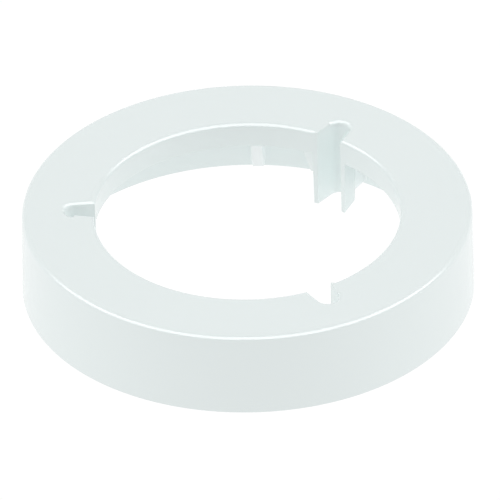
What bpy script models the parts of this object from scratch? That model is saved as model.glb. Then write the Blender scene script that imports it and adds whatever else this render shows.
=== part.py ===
"""Toilet flange spacer: a hollow moulded ring with three open screw channels.

The ring stands on its wall's foot at z = 0, its axis is +Z, and it is built from its moulded regions:
a top plate, an outer wall, three collar arcs round the hole, three U-shaped screw channels, a web behind
each channel, and triangular gussets that brace the wall. Neighbouring regions keep a small gap.
All lengths are in metres and all angles in degrees, unless a name says otherwise.
"""

import math

import bmesh
import bpy
from mathutils import Matrix

# Driving dimensions: the ring
OUTER_RADIUS = 0.0889
HOLE_RADIUS = 0.0606
HEIGHT = 0.0356
PLATE_THICKNESS = 0.0055
EDGE_ROUND = 0.0020
WALL_INNER_RADIUS = 0.0832
FOOT_OUTER_RADIUS = 0.0892
FOOT_INNER_RADIUS = 0.0838
FOOT_CHAMFER = 0.0004
COLLAR_DEPTH = 0.0107
COLLAR_THICKNESS = 0.0030
GAP = 0.0003

# Driving dimensions: the screw channels and the webs behind them
CHANNEL_ANGLES = (60.0, 180.0, 300.0)
CHANNEL_END_RADIUS = 0.0042
CHANNEL_TIP = 0.0723
CHANNEL_FLARE = 7.6
CHANNEL_WALL = 0.0020
CHANNEL_FOOT = 0.0014
WEB_THICKNESS = 0.0036

# Driving dimensions: the gussets
GUSSET_THICKNESS = 0.0043
GUSSET_TOP_RADIUS = 0.0649
GUSSET_FOOT_LAND = 0.0006
NEAR_GUSSET_OFFSET = 13.4
FAR_GUSSET_OFFSET = 29.5

# Smoothness of the round shapes
RING_STEPS = 144
LAND_STEPS = 44
CHANNEL_ARC_STEPS = 14
EDGE_STEPS = 4

# Worked out from the driving dimensions
PLATE_UNDERSIDE = HEIGHT - PLATE_THICKNESS
BELOW_PLATE = PLATE_UNDERSIDE - GAP
COLLAR_BOTTOM = HEIGHT - COLLAR_DEPTH
CHANNEL_CENTRE = CHANNEL_TIP - CHANNEL_END_RADIUS
FLARE = math.radians(CHANNEL_FLARE)


# Clearing and materials

def clear_scene():
    """Removes every object that the file opened with."""
    for item in list(bpy.data.objects):
        bpy.data.objects.remove(item, do_unlink=True)


def make_collection(name):
    collection = bpy.data.collections.new(name)
    bpy.context.scene.collection.children.link(collection)
    return collection


def white_plastic(name):
    """Glossy off-white moulded plastic, a little cool."""
    material = bpy.data.materials.new(name + "_plastic")
    material.use_nodes = True
    shader = material.node_tree.nodes["Principled BSDF"]
    shader.inputs["Base Color"].default_value = (0.80, 0.85, 0.85, 1.0)
    shader.inputs["Roughness"].default_value = 0.3
    shader.inputs["Metallic"].default_value = 0.0
    return material


# Outlines, as lists of (x, y) points

def arc(radius, start, end, steps, centre=0.0):
    """Points on a circle about (centre, 0), from the start angle to the end angle, both in radians."""
    angles = [start + (end - start) * i / steps for i in range(steps + 1)]
    return [(centre + radius * math.cos(a), radius * math.sin(a)) for a in angles]


def flank_crossing(offset, radius):
    """Where a channel's +y flank, moved out by offset, meets a circle of that radius about the ring's axis."""
    end_radius = CHANNEL_END_RADIUS + offset
    start_x = CHANNEL_CENTRE + end_radius * math.sin(FLARE)
    start_y = end_radius * math.cos(FLARE)
    half_b = -start_x * math.cos(FLARE) + start_y * math.sin(FLARE)
    root = math.sqrt(half_b ** 2 - (start_x ** 2 + start_y ** 2 - radius ** 2))
    run = -half_b - root if radius < math.hypot(start_x, start_y) else -half_b + root
    return start_x - run * math.cos(FLARE), start_y + run * math.sin(FLARE)


def channel_line(offset, mouth_radius=HOLE_RADIUS):
    """The open U of a channel along +x, moved out by offset: from its +y mouth round its end to its -y mouth."""
    mouth_x, mouth_y = flank_crossing(offset, mouth_radius)
    sweep = math.pi / 2 - FLARE
    round_end = arc(CHANNEL_END_RADIUS + offset, sweep, -sweep, CHANNEL_ARC_STEPS, CHANNEL_CENTRE)
    return [(mouth_x, mouth_y)] + round_end + [(mouth_x, -mouth_y)]


def turned(points, angle):
    """Points turned about the ring's axis by an angle in degrees."""
    cos_a, sin_a = math.cos(math.radians(angle)), math.sin(math.radians(angle))
    return [(x * cos_a - y * sin_a, x * sin_a + y * cos_a) for x, y in points]


def ring_steps(start, end):
    """How many steps a stretch of the ring takes at the ring's own smoothness."""
    return max(1, round(abs(end - start) / (2 * math.pi) * RING_STEPS))


def hole_outline(offset):
    """The hole with its three notches, moved out into the plate by offset, counterclockwise."""
    radius = HOLE_RADIUS + offset
    mouth_x, mouth_y = flank_crossing(offset, radius)
    half_mouth = math.atan2(mouth_y, mouth_x)
    land = arc(radius, half_mouth, math.radians(120.0) - half_mouth, LAND_STEPS)
    points = []
    for angle in CHANNEL_ANGLES:
        points += turned(reversed(channel_line(offset, radius)), angle)
        points += turned(land[1:-1], angle)
    return points


def collar_outline(angle):
    """The collar arc that follows the channel at this angle, its ends cut along the channels' flanks."""
    offset = CHANNEL_WALL + GAP
    ends = []
    for radius in (HOLE_RADIUS, HOLE_RADIUS + COLLAR_THICKNESS):
        x, y = flank_crossing(offset, radius)
        ends.append(math.atan2(y, x))
    spread = math.radians(120.0)
    steps = ring_steps(ends[0], spread - ends[0])
    inner = arc(HOLE_RADIUS, ends[0], spread - ends[0], steps)
    outer = arc(HOLE_RADIUS + COLLAR_THICKNESS, spread - ends[1], ends[1], steps)
    return turned(inner + outer, angle)


# Solids

def solid_from_outline(name, outlines, low, high, placement=None):
    """A closed solid between two heights: the first outline is its edge and any others are holes in it."""
    curve = bpy.data.curves.new(name + "_outline", "CURVE")
    curve.dimensions = "2D"
    curve.fill_mode = "BOTH"
    curve.extrude = (high - low) / 2
    for outline in outlines:
        spline = curve.splines.new("POLY")
        spline.points.add(len(outline) - 1)
        spline.use_cyclic_u = True
        for point, (x, y) in zip(spline.points, outline):
            point.co = (x, y, 0.0, 1.0)
    guide = bpy.data.objects.new(name + "_outline", curve)
    bpy.context.scene.collection.objects.link(guide)
    bpy.context.view_layer.update()
    evaluated = guide.evaluated_get(bpy.context.evaluated_depsgraph_get())
    mesh = bpy.data.meshes.new_from_object(evaluated)
    bpy.data.objects.remove(guide, do_unlink=True)
    mesh.transform(Matrix.Translation((0.0, 0.0, (low + high) / 2)))
    if placement is not None:
        mesh.transform(placement)
    weld_caps(mesh)
    mesh.name = name
    return place(name, mesh)


def weld_caps(mesh):
    """Joins a filled outline's loose caps to its sides and points every face outwards."""
    shape = bmesh.new()
    shape.from_mesh(mesh)
    bmesh.ops.remove_doubles(shape, verts=shape.verts, dist=1e-6)
    bmesh.ops.recalc_face_normals(shape, faces=shape.faces)
    shape.to_mesh(mesh)
    shape.free()


def place(name, mesh):
    """Puts a mesh in the scene as a named part with its own material and smooth round faces."""
    part = bpy.data.objects.new(name, mesh)
    PARTS.objects.link(part)
    mesh.materials.clear()
    mesh.materials.append(white_plastic(name))
    mesh.shade_smooth()
    mesh.set_sharp_from_angle(angle=math.radians(32.0))
    return part


def ring_from_loops(name, loops):
    """A closed ring through loops of equally many points, the last of them joined to the first."""
    count = len(loops[0])
    faces = []
    for i in range(len(loops)):
        here, following = i * count, (i + 1) % len(loops) * count
        for j in range(count):
            k = (j + 1) % count
            faces.append((here + j, here + k, following + k, following + j))
    mesh = bpy.data.meshes.new(name)
    mesh.from_pydata([point for loop in loops for point in loop], [], faces)
    weld_caps(mesh)
    return place(name, mesh)


# Parts

def make_top_plate():
    """The flat seat with its hole and its three notches, rounded along both of its top edges."""
    angles = [math.pi / 2 * i / EDGE_STEPS for i in range(EDGE_STEPS + 1)]
    rounding = [(EDGE_ROUND * (1 - math.cos(a)), HEIGHT - EDGE_ROUND * (1 - math.sin(a))) for a in angles]
    loops = [[(x, y, PLATE_UNDERSIDE) for x, y in hole_outline(0.0)]]
    for inset, z in rounding:
        loops.append([(x, y, z) for x, y in hole_outline(inset)])
    bearings = [math.atan2(y, x) for x, y in hole_outline(EDGE_ROUND)]
    for inset, z in rounding[::-1] + [(0.0, PLATE_UNDERSIDE)]:
        radius = OUTER_RADIUS - inset
        loops.append([(radius * math.cos(a), radius * math.sin(a), z) for a in bearings])
    ring_from_loops("top_plate", loops)


def make_outer_wall():
    """The turned wall, which widens a little towards its foot, as a moulding's draft needs."""
    draft = (FOOT_OUTER_RADIUS - OUTER_RADIUS) * (HEIGHT - BELOW_PLATE) / HEIGHT
    profile = [
        (OUTER_RADIUS + draft, BELOW_PLATE),
        (FOOT_OUTER_RADIUS, FOOT_CHAMFER),
        (FOOT_OUTER_RADIUS - FOOT_CHAMFER, 0.0),
        (FOOT_INNER_RADIUS + FOOT_CHAMFER, 0.0),
        (FOOT_INNER_RADIUS, FOOT_CHAMFER),
        (WALL_INNER_RADIUS, BELOW_PLATE),
    ]
    mesh = bpy.data.meshes.new("outer_wall")
    loop = [(i, (i + 1) % len(profile)) for i in range(len(profile))]
    mesh.from_pydata([(radius, 0.0, z) for radius, z in profile], loop, [])
    wall = place("outer_wall", mesh)
    screw = wall.modifiers.new("turn", "SCREW")
    screw.axis = "Z"
    screw.angle = 2 * math.pi
    screw.steps = RING_STEPS
    screw.render_steps = RING_STEPS
    screw.use_merge_vertices = True
    screw.merge_threshold = 0.00001
    screw.use_smooth_shade = True


def make_collars():
    """The lip that hangs from the plate round the hole, in three arcs between the channels."""
    for number, angle in enumerate(CHANNEL_ANGLES, 1):
        outline = collar_outline(angle)
        solid_from_outline(f"inner_collar_{number}", [outline], COLLAR_BOTTOM, BELOW_PLATE)


def make_channels():
    """The U-shaped screw channels, open to the hole, from the plate down to just above the foot."""
    section = channel_line(0.0) + channel_line(CHANNEL_WALL)[::-1]
    for number, angle in enumerate(CHANNEL_ANGLES, 1):
        solid_from_outline(f"screw_channel_{number}", [turned(section, angle)], CHANNEL_FOOT, BELOW_PLATE)


def make_webs():
    """The upright web that ties each channel's round end to the wall."""
    inner_end = CHANNEL_TIP + CHANNEL_WALL + GAP
    outer_end = WALL_INNER_RADIUS - GAP
    half = WEB_THICKNESS / 2
    section = [(inner_end, -half), (outer_end, -half), (outer_end, half), (inner_end, half)]
    for number, angle in enumerate(CHANNEL_ANGLES, 1):
        solid_from_outline(f"channel_web_{number}", [turned(section, angle)], CHANNEL_FOOT, BELOW_PLATE)


def make_gussets(family, offset):
    """A triangular gusset on each side of every channel, from the plate's underside to the wall's foot."""
    wall_line = [(WALL_INNER_RADIUS - GAP, BELOW_PLATE), (FOOT_INNER_RADIUS - GAP, GAP)]
    slant = [(FOOT_INNER_RADIUS - GAP - GUSSET_FOOT_LAND, GAP), (GUSSET_TOP_RADIUS, BELOW_PLATE)]
    half = GUSSET_THICKNESS / 2
    upright = Matrix.Rotation(math.pi / 2, 4, "X")
    directions = [angle + side * offset for angle in CHANNEL_ANGLES for side in (-1, 1)]
    for number, direction in enumerate(directions, 1):
        placement = Matrix.Rotation(math.radians(direction), 4, "Z") @ upright
        solid_from_outline(f"{family}_{number}", [wall_line + slant], -half, half, placement)


clear_scene()
PARTS = make_collection("toilet_flange_spacer")
make_top_plate()
make_outer_wall()
make_collars()
make_channels()
make_webs()
make_gussets("near_gusset", NEAR_GUSSET_OFFSET)
make_gussets("far_gusset", FAR_GUSSET_OFFSET)
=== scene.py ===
"""The looks of the toilet flange spacer ring: a glossy off-white moulding on a plain white floor.

Each visible piece stands for one CAD node. The pieces meet face to face, with the edge rounds, root
fillets and draft of a real moulding, so that together they read as the single casting that it is.
Lengths are in metres. Angles are in degrees, or in radians where math.radians has turned them into those.
"""

import math

import bmesh
import bpy
from mathutils import Matrix, Vector


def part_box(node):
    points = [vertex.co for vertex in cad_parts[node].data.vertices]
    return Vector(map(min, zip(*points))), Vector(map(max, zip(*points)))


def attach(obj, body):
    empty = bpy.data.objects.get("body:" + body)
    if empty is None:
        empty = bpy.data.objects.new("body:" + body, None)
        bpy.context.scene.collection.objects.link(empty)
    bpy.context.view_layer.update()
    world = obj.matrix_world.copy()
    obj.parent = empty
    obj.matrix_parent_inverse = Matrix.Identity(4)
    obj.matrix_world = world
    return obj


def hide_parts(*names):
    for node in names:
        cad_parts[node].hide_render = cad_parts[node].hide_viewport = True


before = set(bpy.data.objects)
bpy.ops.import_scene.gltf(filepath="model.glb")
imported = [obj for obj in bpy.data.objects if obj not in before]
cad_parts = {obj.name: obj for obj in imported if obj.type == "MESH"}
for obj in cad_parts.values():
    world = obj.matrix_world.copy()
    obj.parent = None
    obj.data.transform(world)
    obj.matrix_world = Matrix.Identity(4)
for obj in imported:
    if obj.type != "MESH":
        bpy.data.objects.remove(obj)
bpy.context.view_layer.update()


# Sizes from the frame

def radii(node):
    """The least and the greatest distance of a CAD node's corners from the ring's axis."""
    lengths = [vertex.co.xy.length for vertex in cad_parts[node].data.vertices]
    return min(lengths), max(lengths)


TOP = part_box("top_plate")[1].z
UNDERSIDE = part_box("top_plate")[0].z
OUTER_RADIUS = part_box("top_plate")[1].x
HOLE_RADIUS, COLLAR_OUTER = radii("inner_collar_1")
COLLAR_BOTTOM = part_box("inner_collar_1")[0].z
WALL_INNER, FOOT_OUTER = radii("outer_wall")
CHANNEL_REACH = radii("screw_channel_2")[1]
CHANNEL_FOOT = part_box("screw_channel_2")[0].z
WEB_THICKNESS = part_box("channel_web_2")[1].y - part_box("channel_web_2")[0].y
GUSSET_INNER = radii("far_gusset_1")[0]

# Sizes that the frame doesn't give
CHANNEL_ANGLES = (60.0, 180.0, 300.0)
CHANNEL_SPACING = math.radians(120.0)
CHANNEL_END = 0.0042
CHANNEL_WALL = 0.0020
FLARE = math.radians(7.6)
WALL_DRAFT = 0.0006
GUSSET_THICKNESS = 0.0043
GUSSET_FOOT_LAND = 0.0009
NEAR_OFFSET = 13.4
FAR_OFFSET = 29.5

# Finish of the moulding
EDGE_ROUND = 0.0020
FOOT_ROUND = 0.0004
LIP_ROUND = 0.0004
MOUTH_ROUND = 0.00025
ROOT_FILLET = 0.0010
CHANNEL_WALL_TAPER = 0.0003
SLOT_DRAFT = 0.00015
BURIED = 0.0002

# Smoothness
SUPPORT = 0.0003
NOSE_SHARE = 0.8
LAND_STEPS = 112
FLANK_SHARES = (0.0, 0.3, 0.6, 0.92)
END_STEPS = 24
ROUND_STEPS = 8
CORNER_STEPS = 4
SMALL_STEPS = 4
CREASE = math.radians(30.0)
TOP_SHARES = (0.0, 0.3, 0.65, 1.0)
GUSSET_SHARES = (0.6, 0.3, 0.1)
WELD = 1e-7

CHANNEL_CENTRE = CHANNEL_REACH - CHANNEL_WALL - CHANNEL_END


# Outlines, as lists of (x, y) points, for a channel that runs along +x

def between(a, b, share):
    """The point that lies that share of the way from a to b."""
    return tuple(p + (q - p) * share for p, q in zip(a, b))


def arc(radius, start, end, steps, centre=(0.0, 0.0)):
    angles = [start + (end - start) * i / steps for i in range(steps + 1)]
    return [(centre[0] + radius * math.cos(a), centre[1] + radius * math.sin(a)) for a in angles]


def flank_crossing(offset, radius):
    """Where a channel's -y flank, moved out by offset, meets a circle of that radius about the axis."""
    end_radius = CHANNEL_END + offset
    start_x = CHANNEL_CENTRE + end_radius * math.sin(FLARE)
    start_y = end_radius * math.cos(FLARE)
    half_b = start_y * math.sin(FLARE) - start_x * math.cos(FLARE)
    root = math.sqrt(half_b ** 2 - (start_x ** 2 + start_y ** 2 - radius ** 2))
    inside = radius < math.hypot(start_x, start_y)
    run = -half_b - root if inside else -half_b + root
    return start_x - run * math.cos(FLARE), -start_y - run * math.sin(FLARE)


def mirrored(points):
    """The same outline on the +y side, in the opposite order."""
    return [(x, -y) for x, y in reversed(points)]


def mouth_corner(offset):
    """The rounded corner between the hole's edge and a channel's -y flank, from the hole to the flank."""
    radius = MOUTH_ROUND - offset
    if radius <= 0.0:
        return [flank_crossing(offset, HOLE_RADIUS + offset)] * (CORNER_STEPS + 1)
    centre = flank_crossing(MOUTH_ROUND, HOLE_RADIUS + MOUTH_ROUND)
    to_hole = math.atan2(centre[1], centre[0]) + math.pi
    to_flank = math.pi / 2 - FLARE
    return arc(radius, to_hole, to_flank, CORNER_STEPS, centre)


def channel_line(offset, square_mouth=None):
    """A channel's open U, moved out by offset, from its -y mouth round its end to its +y mouth.

    Its mouth is rounded into the hole's edge, or ends square on a circle of the radius square_mouth.
    """
    if square_mouth is None:
        mouth = mouth_corner(offset)
    else:
        mouth = [flank_crossing(offset, square_mouth)] * (CORNER_STEPS + 1)
    end_radius = CHANNEL_END + offset
    sweep = math.pi / 2 - FLARE
    round_end = arc(end_radius, -sweep, sweep, END_STEPS, (CHANNEL_CENTRE, 0.0))
    flank = [between(mouth[-1], round_end[0], share) for share in FLANK_SHARES[1:]]
    side = mouth + flank
    return side + round_end + mirrored(side)


def turned(points, angle):
    cos_a, sin_a = math.cos(math.radians(angle)), math.sin(math.radians(angle))
    return [(x * cos_a - y * sin_a, x * sin_a + y * cos_a) for x, y in points]


def hole_line(offset):
    """The hole with its three notches, moved out into the plate by offset."""
    points = []
    for angle in CHANNEL_ANGLES:
        notch = channel_line(offset)
        start = math.atan2(notch[-1][1], notch[-1][0])
        land = arc(HOLE_RADIUS + offset, start, CHANNEL_SPACING - start, LAND_STEPS)
        points += turned(notch, angle) + turned(land[1:-1], angle)
    return points


def edge_roundness():
    """For each point of the hole's line, 1 where its top edge is rounded and 0 where it is left square."""
    side = CORNER_STEPS + len(FLANK_SHARES)
    notch = [1.0] * (side + END_STEPS + 1) + [0.0] * side
    return (notch + [1.0] * (LAND_STEPS - 1)) * len(CHANNEL_ANGLES)


# Profiles

def quarter(radius, steps):
    """A quarter round, from (0, radius) to (radius, 0), that bulges towards (0, 0)."""
    angles = [math.pi / 2 * i / steps for i in range(steps + 1)]
    return [(radius * (1 - math.cos(a)), radius * (1 - math.sin(a))) for a in angles]


def root_fillet(radius):
    """Down a side from the seat's underside: a height, and how far the side flares out there."""
    fillet = [(UNDERSIDE - below, flare) for flare, below in reversed(quarter(radius, SMALL_STEPS))]
    return fillet + [(UNDERSIDE - radius - SUPPORT, 0.0)]


def rounded_end(bottom, radius):
    """Down a side to its lower end: a height, and how far the side draws in there to round its edge."""
    rounding = [(bottom + above, inset) for inset, above in quarter(radius, SMALL_STEPS)]
    return [(bottom + radius + SUPPORT, 0.0)] + rounding


def outer_radius(z):
    """The outer wall's drafted outside, widest at the foot."""
    return FOOT_OUTER + (OUTER_RADIUS - FOOT_OUTER) * z / TOP


def inner_radius(z):
    """The outer wall's drafted inside, widest at the foot."""
    return WALL_INNER + WALL_DRAFT * (1 - z / UNDERSIDE)


def channel_offsets(z):
    """How far a channel's inner and outer faces stand out from its clear opening at that height."""
    depth = (UNDERSIDE - z) / UNDERSIDE
    return SLOT_DRAFT * depth, CHANNEL_WALL + CHANNEL_WALL_TAPER * (1 - 2 * depth)


# Meshes

def at_height(points, z):
    return [(x, y, z) for x, y in points]


def circle(directions, radius, z):
    return [(*(direction * radius), z) for direction in directions]


def finish_mesh(name, node, shape, material):
    """Closes up a piece's mesh, shades it, and makes it stand for its CAD node."""
    bmesh.ops.remove_doubles(shape, verts=shape.verts, dist=WELD)
    bmesh.ops.dissolve_degenerate(shape, edges=shape.edges, dist=WELD)
    bmesh.ops.recalc_face_normals(shape, faces=shape.faces)
    mesh = bpy.data.meshes.new(name)
    shape.to_mesh(mesh)
    shape.free()
    mesh.materials.append(material)
    mesh.shade_smooth()
    mesh.set_sharp_from_angle(angle=CREASE)
    piece = bpy.data.objects.new(name, mesh)
    bpy.context.scene.collection.objects.link(piece)
    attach(piece, "root")
    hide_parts(node)
    return piece


def join_rows(shape, row, following):
    for i in range(len(row)):
        j = (i + 1) % len(row)
        shape.faces.new((row[i], row[j], following[j], following[i]))


def ring_solid(name, node, rings, material):
    """A closed ring: each of its loops is closed, and the last loop joins the first."""
    shape = bmesh.new()
    rows = [[shape.verts.new(point) for point in ring] for ring in rings]
    for row, following in zip(rows, rows[1:] + rows[:1]):
        join_rows(shape, row, following)
    finish_mesh(name, node, shape, material)


def strip_solid(name, node, levels, material):
    """A solid between two long sides: each level is a pair of lines, and the end levels are capped."""
    shape = bmesh.new()
    rows = [[shape.verts.new(point) for point in one + other[::-1]] for one, other in levels]
    for row, following in zip(rows, rows[1:]):
        join_rows(shape, row, following)
    for row in (rows[0], rows[-1]):
        for i in range(len(row) // 2 - 1):
            shape.faces.new((row[i], row[i + 1], row[-2 - i], row[-1 - i]))
    finish_mesh(name, node, shape, material)


# Pieces

def make_top_seat(material):
    """The flat seat: the hole's edge, the top face, the rim and the underside. Returns its spokes."""
    side = TOP - EDGE_ROUND - SUPPORT
    rings = [at_height(hole_line(0.0), UNDERSIDE), at_height(hole_line(0.0), side)]
    roundness = edge_roundness()
    for inset, drop in quarter(EDGE_ROUND, ROUND_STEPS):
        rounded = at_height(hole_line(inset), TOP - drop)
        square = at_height(hole_line(max(0.0, inset - drop)), TOP - max(0.0, drop - inset))
        rings.append([between(s, r, share) for s, r, share in zip(square, rounded, roundness)])
    directions = [Vector(point).xy.normalized() for point in rings[-1]]
    inner_edge = at_height(hole_line(EDGE_ROUND + SUPPORT), TOP)
    outer_edge = circle(directions, OUTER_RADIUS - EDGE_ROUND - SUPPORT, TOP)
    for share in TOP_SHARES:
        rings.append([between(a, b, share) for a, b in zip(inner_edge, outer_edge)])
    for inset, drop in reversed(quarter(EDGE_ROUND, ROUND_STEPS)):
        rings.append(circle(directions, OUTER_RADIUS - inset, TOP - drop))
    rings += [circle(directions, outer_radius(z), z) for z in (side, UNDERSIDE)]
    ring_solid("top_seat", "top_plate", rings, material)
    return directions


def make_wall_shell(directions, material):
    """The outer wall with its drafted faces, its rounded foot and the fillet under the seat."""
    foot = rounded_end(0.0, FOOT_ROUND)
    profile = [(outer_radius(UNDERSIDE), UNDERSIDE)]
    profile += [(outer_radius(z) - inset, z) for z, inset in foot]
    profile += [(inner_radius(z) + inset, z) for z, inset in reversed(foot)]
    profile += [(inner_radius(z) - flare, z) for z, flare in reversed(root_fillet(ROOT_FILLET))]
    ring_solid("wall_shell", "outer_wall", [circle(directions, *point) for point in profile], material)


def make_collar_lips(material):
    """The lip round the hole, in three arcs whose ends meet the channels' flanks."""
    sections = [(z, 0.0, flare) for z, flare in root_fillet(ROOT_FILLET)]
    sections += [(z, inset, -inset) for z, inset in rounded_end(COLLAR_BOTTOM, LIP_ROUND)]
    for number, angle in enumerate(CHANNEL_ANGLES, 1):
        levels = []
        for z, inner, outer in sections:
            lines = []
            for radius in (HOLE_RADIUS + inner, COLLAR_OUTER + outer):
                x, y = flank_crossing(channel_offsets(z)[1] - BURIED, radius)
                start = math.atan2(-y, x)
                lip = arc(radius, start, CHANNEL_SPACING - start, LAND_STEPS)
                lines.append(at_height(turned(lip, angle), z))
            levels.append(lines)
        strip_solid(f"collar_lip_{number}", f"inner_collar_{number}", levels, material)


def make_channel_troughs(material):
    """The U-shaped screw channels, thinner towards the foot, their mouths flush with the hole's edge."""
    sections = [(UNDERSIDE, 0.0)] + rounded_end(CHANNEL_FOOT, LIP_ROUND)
    for number, angle in enumerate(CHANNEL_ANGLES, 1):
        levels = []
        for z, inset in sections:
            inner, outer = channel_offsets(z)
            inside = turned(channel_line(inner + inset), angle)
            outside = turned(channel_line(outer - inset, HOLE_RADIUS + inset), angle)
            levels.append((at_height(inside, z), at_height(outside, z)))
        strip_solid(f"channel_trough_{number}", f"screw_channel_{number}", levels, material)


def upright(sections, half_thickness, start_at, angle, rounded_nose):
    """Levels of an upright plate along the +x line, from start_at(z) to the outer wall, turned to an angle.

    A fillet spreads into the wall at its outer end. Its inner end is a rounded nose, or another fillet.
    """
    levels = []
    for z, spread in sections:
        start, end = start_at(z), inner_radius(z)
        half = half_thickness + spread
        room = ROOT_FILLET + LIP_ROUND + 2 * SUPPORT
        scale = min(1.0, NOSE_SHARE * (end - start) / room)
        fillet, nose, support = (size * scale for size in (ROOT_FILLET, LIP_ROUND, SUPPORT))
        if rounded_nose:
            side = [(start + inset, half - rest) for inset, rest in quarter(nose, SMALL_STEPS)]
            side += [(start + nose + support, half)]
        else:
            side = [(start - BURIED, half + fillet)]
            side += [(start + inset, half + rest) for inset, rest in quarter(fillet, SMALL_STEPS)]
            side += [(start + fillet + support, half)]
        side += [(end - fillet - support, half)]
        side += [(end - rest, half + inset) for inset, rest in quarter(fillet, SMALL_STEPS)]
        side += [(end + BURIED, half + fillet)]
        other = [(x, -y) for x, y in side]
        levels.append((at_height(turned(side, angle), z), at_height(turned(other, angle), z)))
    return levels


def make_web_braces(material):
    """The upright web from each channel's round end to the wall."""
    sections = root_fillet(ROOT_FILLET)
    sections += [(z, -inset) for z, inset in rounded_end(CHANNEL_FOOT, LIP_ROUND)]
    half = WEB_THICKNESS / 2

    def start_at(z):
        reach = CHANNEL_END + channel_offsets(z)[1]
        return CHANNEL_CENTRE + math.sqrt(reach ** 2 - (half + ROOT_FILLET) ** 2)

    for number, angle in enumerate(CHANNEL_ANGLES, 1):
        levels = upright(sections, half, start_at, angle, False)
        strip_solid(f"web_brace_{number}", f"channel_web_{number}", levels, material)


def make_gussets(family, offset, material):
    """Triangular gussets, from the seat's underside down to the wall's foot."""
    foot_start = inner_radius(0.0) - GUSSET_FOOT_LAND

    def start_at(z):
        return foot_start + (GUSSET_INNER - foot_start) * z / UNDERSIDE

    sections = root_fillet(ROOT_FILLET)
    sections += [(UNDERSIDE * share, 0.0) for share in GUSSET_SHARES]
    sections += [(FOOT_ROUND, 0.0)]
    directions = [angle + side * offset for angle in CHANNEL_ANGLES for side in (-1, 1)]
    for number, direction in enumerate(directions, 1):
        levels = upright(sections, GUSSET_THICKNESS / 2, start_at, direction, True)
        strip_solid(f"{family}_rib_{number}", f"{family}_gusset_{number}", levels, material)


# Materials: base colours of a glossy plastic and of its flow marks, its roughness, and its skin's strength
SHOW_LOOK = ((0.702, 0.756, 0.752), (0.692, 0.746, 0.742), 0.22, 0.05)
# The core side's base colours are painted lighter than the show side's. This is painted light that lifts the
# shade falling on the webs and far gussets under the seat. Its rougher gloss and stronger skin are its own.
CORE_LOOK_PAINTED_LIGHTER = ((0.77, 0.81, 0.81), (0.755, 0.795, 0.795), 0.34, 0.1)
PLASTIC_IOR = 1.54
FLOW_SCALE = 28.0
GLOSS_SCALE = 260.0
PEEL_SCALE = 900.0
PEEL_HEIGHT = 0.00004
SMOOTHER, ROUGHER = 0.03, 0.04
MIX_A, MIX_B, MIX_RESULT = 6, 7, 2


def add_node(tree, kind, place, **values):
    """Adds a shader node and sets its inputs by name."""
    made = tree.nodes.new(kind)
    made.location = place
    for name, value in values.items():
        made.inputs[name.replace("_", " ")].default_value = value
    return made


def moulded_plastic(name, light, deep, roughness, grain):
    """Glossy moulded plastic: faint flow marks in its colour, uneven gloss and a fine orange-peel skin."""
    material = bpy.data.materials.new(name)
    material.use_nodes = True
    tree = material.node_tree
    shader = tree.nodes["Principled BSDF"]
    shader.inputs["IOR"].default_value = PLASTIC_IOR
    place = add_node(tree, "ShaderNodeTexCoord", (-1100, 0))
    flow = add_node(tree, "ShaderNodeTexNoise", (-850, 200), Scale=FLOW_SCALE, Detail=3.0, Roughness=0.5)
    tint = add_node(tree, "ShaderNodeMix", (-300, 250))
    tint.data_type = "RGBA"
    tint.inputs[MIX_A].default_value = (*light, 1.0)
    tint.inputs[MIX_B].default_value = (*deep, 1.0)
    gloss = add_node(tree, "ShaderNodeTexNoise", (-850, -50), Scale=GLOSS_SCALE, Detail=4.0, Roughness=0.6)
    sheen = add_node(tree, "ShaderNodeMapRange", (-550, -50), From_Min=0.3, From_Max=0.7)
    sheen.inputs["To Min"].default_value = roughness - SMOOTHER
    sheen.inputs["To Max"].default_value = roughness + ROUGHER
    peel = add_node(tree, "ShaderNodeTexNoise", (-850, -350), Scale=PEEL_SCALE, Detail=2.0, Roughness=0.5)
    bump = add_node(tree, "ShaderNodeBump", (-300, -300), Strength=grain, Distance=PEEL_HEIGHT)
    link = tree.links.new
    for texture in (flow, gloss, peel):
        link(place.outputs["Object"], texture.inputs["Vector"])
    link(flow.outputs["Fac"], tint.inputs["Factor"])
    link(tint.outputs[MIX_RESULT], shader.inputs["Base Color"])
    link(gloss.outputs["Fac"], sheen.inputs["Value"])
    link(sheen.outputs["Result"], shader.inputs["Roughness"])
    link(peel.outputs["Fac"], bump.inputs["Height"])
    link(bump.outputs["Normal"], shader.inputs["Normal"])
    return material


# Stage: floor, light and camera

AZIMUTH = math.radians(2.7)
ELEVATION = math.radians(34.41)
ROLL = math.radians(-1.03)
FRAME_WIDTH = 0.19738
CENTRE_LEFT = 0.00111
CENTRE_UP = 0.01548
CAMERA_DISTANCE = 1.2
FLOOR_SIZE = 8.0
FLOOR_DROP = 0.0002
FLOOR_GLOW = 1.02

# Light: strengths, the arch's lean from upright, and where each of its sides begins and is full, as cosines
AMBIENT = 0.61
SEEN_WHITE = 1.0
REFLECTED_ROOM = 0.7
REFLECTED_ARCH = 6.5
ARCH_LEAN = math.radians(25.5)
ARCH_FOOT = (0.32, 0.46)
ARCH_TOP = (-0.88, -0.76)
ARCH_BACK = (-0.45, -0.3)
LAMP_SPREAD = 60.0
# Each lamp: name, azimuth, elevation and strength
LAMPS = (
    ("front", 0.0, 25.0, 0.53),
    ("left", -90.0, 25.0, 0.67),
    ("right", 90.0, 25.0, 0.67),
    ("left_rear", -120.0, 25.0, 0.38),
    ("right_rear", 120.0, 25.0, 0.38),
    ("back", 180.0, 55.0, 0.66),
)


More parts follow.
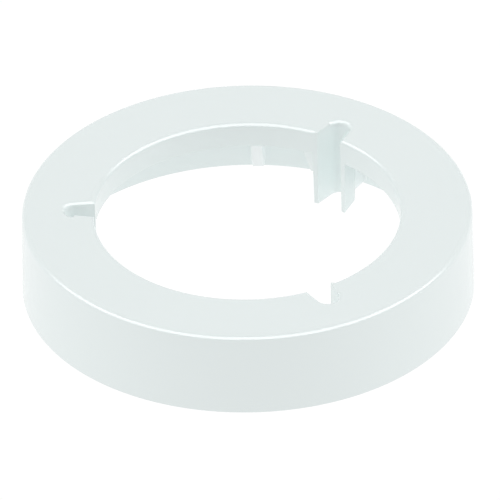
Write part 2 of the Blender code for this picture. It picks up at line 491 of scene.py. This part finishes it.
def make_floor():
    """A plain white floor that glows softly, as a light table does, so that it stays pale under the ring."""
    material = bpy.data.materials.new("pale_floor")
    material.use_nodes = True
    shader = material.node_tree.nodes["Principled BSDF"]
    shader.inputs["Base Color"].default_value = (0.0, 0.0, 0.0, 1.0)
    shader.inputs["Specular IOR Level"].default_value = 0.0
    shader.inputs["Emission Color"].default_value = (1.0, 1.0, 1.0, 1.0)
    shader.inputs["Emission Strength"].default_value = FLOOR_GLOW
    material.cycles.emission_sampling = "NONE"
    bpy.ops.mesh.primitive_plane_add(size=FLOOR_SIZE, location=(0.0, 0.0, -FLOOR_DROP))
    floor = bpy.context.object
    floor.name = "floor"
    floor.data.materials.append(material)


def add_lamp(name, azimuth, elevation, strength):
    """A broad far lamp that casts no shadow. Azimuth 0 is behind the camera, and 90 is to its right."""
    data = bpy.data.lights.new(name, "SUN")
    data.energy = strength
    data.angle = math.radians(LAMP_SPREAD)
    data.use_shadow = False
    lamp = bpy.data.objects.new(name, data)
    turn = math.radians(azimuth) + AZIMUTH
    level = math.cos(math.radians(elevation))
    towards = Vector((math.sin(turn) * level, -math.cos(turn) * level, math.sin(math.radians(elevation))))
    lamp.rotation_euler = towards.to_track_quat("Z", "Y").to_euler()
    lamp.location = towards
    lamp.visible_glossy = False
    bpy.context.scene.collection.objects.link(lamp)


def facing(tree, bearing, direction, start, end, level):
    """1 where a bearing runs along the direction by more than end, and 0 where by less than start."""
    dot = add_node(tree, "ShaderNodeVectorMath", (-1250, level))
    dot.operation = "DOT_PRODUCT"
    dot.inputs[1].default_value = direction
    ramp = add_node(tree, "ShaderNodeMapRange", (-1050, level), From_Min=start, From_Max=end)
    ramp.interpolation_type = "SMOOTHSTEP"
    tree.links.new(bearing, dot.inputs[0])
    tree.links.new(dot.outputs["Value"], ramp.inputs["Value"])
    return ramp.outputs["Result"]


def times(tree, one, other, level):
    product = add_node(tree, "ShaderNodeMath", (-850, level))
    product.operation = "MULTIPLY"
    tree.links.new(one, product.inputs[0])
    tree.links.new(other, product.inputs[1])
    return product.outputs["Value"]


def make_arch(tree):
    """The bright arch: above the horizon, in front and at the sides, and short of straight overhead."""
    bearing = add_node(tree, "ShaderNodeTexCoord", (-1500, 0)).outputs["Generated"]
    back = Vector((-math.sin(AZIMUTH), math.cos(AZIMUTH), 0.0))
    up = Vector((0.0, 0.0, 1.0))
    lean = back * math.sin(ARCH_LEAN) + up * math.cos(ARCH_LEAN)
    above_horizon = facing(tree, bearing, up, *ARCH_FOOT, 0)
    below_overhead = facing(tree, bearing, -lean, *ARCH_TOP, -250)
    not_behind = facing(tree, bearing, -back, *ARCH_BACK, -500)
    return times(tree, times(tree, above_horizon, below_overhead, -100), not_behind, -300)


def make_light():
    """Soft even light from all round, the lamps, and an arch that only reflections see.

    The arch lights up the rounded rims and leaves the flat seat plain.
    """
    world = bpy.data.worlds.new("soft_studio")
    bpy.context.scene.world = world
    world.use_nodes = True
    world.cycles.sampling_method = "NONE"
    tree = world.node_tree
    background = tree.nodes["Background"]
    background.inputs["Color"].default_value = (1.0, 1.0, 1.0, 1.0)
    glow = add_node(tree, "ShaderNodeMapRange", (-650, 0), To_Min=REFLECTED_ROOM, To_Max=REFLECTED_ARCH)
    path = add_node(tree, "ShaderNodeLightPath", (-650, 300))
    glossy = add_node(tree, "ShaderNodeMix", (-450, 0), A=AMBIENT)
    seen = add_node(tree, "ShaderNodeMix", (-250, 0), B=SEEN_WHITE)
    link = tree.links.new
    link(make_arch(tree), glow.inputs["Value"])
    link(path.outputs["Is Glossy Ray"], glossy.inputs["Factor"])
    link(glow.outputs["Result"], glossy.inputs["B"])
    link(path.outputs["Is Camera Ray"], seen.inputs["Factor"])
    link(glossy.outputs["Result"], seen.inputs["A"])
    link(seen.outputs["Result"], background.inputs["Strength"])
    for lamp in LAMPS:
        add_lamp(*lamp)


def make_camera():
    """A camera with no perspective, above the front of the ring and rolled a little."""
    data = bpy.data.cameras.new("camera")
    data.type = "ORTHO"
    data.ortho_scale = FRAME_WIDTH
    camera = bpy.data.objects.new("camera", data)
    bpy.context.scene.collection.objects.link(camera)
    level = math.cos(ELEVATION)
    towards = Vector((math.sin(AZIMUTH) * level, -math.cos(AZIMUTH) * level, math.sin(ELEVATION)))
    turn = towards.to_track_quat("Z", "Y").to_matrix().to_4x4() @ Matrix.Rotation(ROLL, 4, "Z")
    right, up = turn.col[0].xyz, turn.col[1].xyz
    aim = Vector((0.0, 0.0, TOP)) + right * CENTRE_LEFT - up * CENTRE_UP
    camera.matrix_world = Matrix.Translation(aim + towards * CAMERA_DISTANCE) @ turn
    bpy.context.scene.camera = camera


make_camera()
SHOW_SIDE = moulded_plastic("show_side_plastic", *SHOW_LOOK)
# The core-side plastic carries painted light: its colour is lighter to lift the shade under the seat.
CORE_SIDE_PAINTED_LIGHTER = moulded_plastic("core_side_plastic_painted_lighter", *CORE_LOOK_PAINTED_LIGHTER)
SPOKES = make_top_seat(SHOW_SIDE)
make_wall_shell(SPOKES, SHOW_SIDE)
make_collar_lips(SHOW_SIDE)
make_channel_troughs(SHOW_SIDE)
# The webs and far gussets get the core-side plastic, whose lighter colour is painted light against the shade
# under the seat.
make_web_braces(CORE_SIDE_PAINTED_LIGHTER)
make_gussets("near", NEAR_OFFSET, SHOW_SIDE)
make_gussets("far", FAR_OFFSET, CORE_SIDE_PAINTED_LIGHTER)
make_floor()
make_light()
bpy.context.scene.view_settings.view_transform = "Standard"
